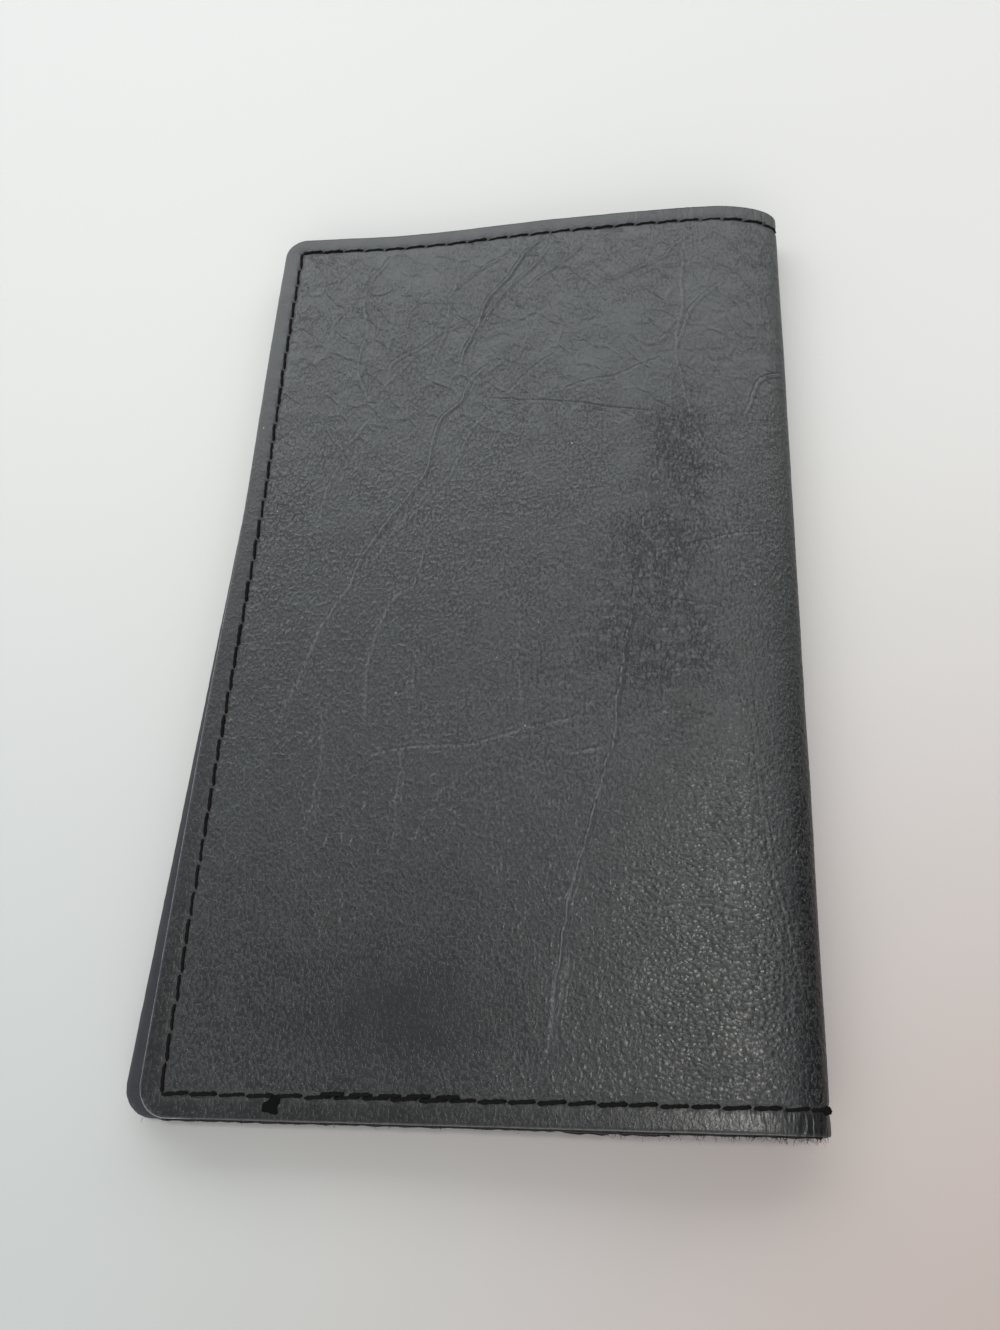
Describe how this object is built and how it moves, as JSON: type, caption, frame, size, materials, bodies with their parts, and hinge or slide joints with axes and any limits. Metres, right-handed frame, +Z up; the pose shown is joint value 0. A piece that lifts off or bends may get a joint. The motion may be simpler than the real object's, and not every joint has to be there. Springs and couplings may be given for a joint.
{
  "type": "badge wallet",
  "caption": "Leather bifold case with a clear identity window facing a shield-shaped badge recess, opening flat on a rounded sewn fold.",
  "frame": {"origin": "on the table, under the middle of the closed wallet's box; the back cover's outer face is z = 0", "axes": "+X from the open edges to the fold, +Y up the wallet to the top of the badge and card, +Z up through the closed covers from back to front"},
  "size_m": [0.079, 0.127, 0.008],
  "materials": {
    "cover_leather": "pebbled black grain, satin, worn glossy near the fold",
    "panel_leather": "smooth black, matt",
    "lining": "fine woven black lining",
    "thread": "twisted black bonded thread",
    "window_vinyl": "clear soft vinyl"
  },
  "bodies": {
    "back": {"back_cover": "cover_leather", "back_seam_thread": "thread", "back_lining": "lining", "badge_backing": "panel_leather", "badge_panel": "panel_leather"},
    "spine": {"spine_cover": "cover_leather", "spine_lining": "lining", "spine_thread_top": "thread", "spine_thread_bottom": "thread"},
    "front": {"front_cover": "cover_leather", "front_seam_thread": "thread", "front_lining": "lining", "id_window": "window_vinyl", "window_frame": "panel_leather"}
  },
  "joints": [
    {"name": "fold_back", "type": "hinge", "parent": "back", "child": "spine", "pos_m": [0.03827, 0, 0.00125], "axis": [0, 1, 0], "range_deg": [0, 90]},
    {"name": "fold_front", "type": "hinge", "parent": "spine", "child": "front", "pos_m": [0.03827, 0, 0.00675], "axis": [0, 1, 0], "range_deg": [0, 90]}
  ],
  "couplings": [
    {"joint": "fold_front", "follows": "fold_back", "ratio": 1}
  ]
}
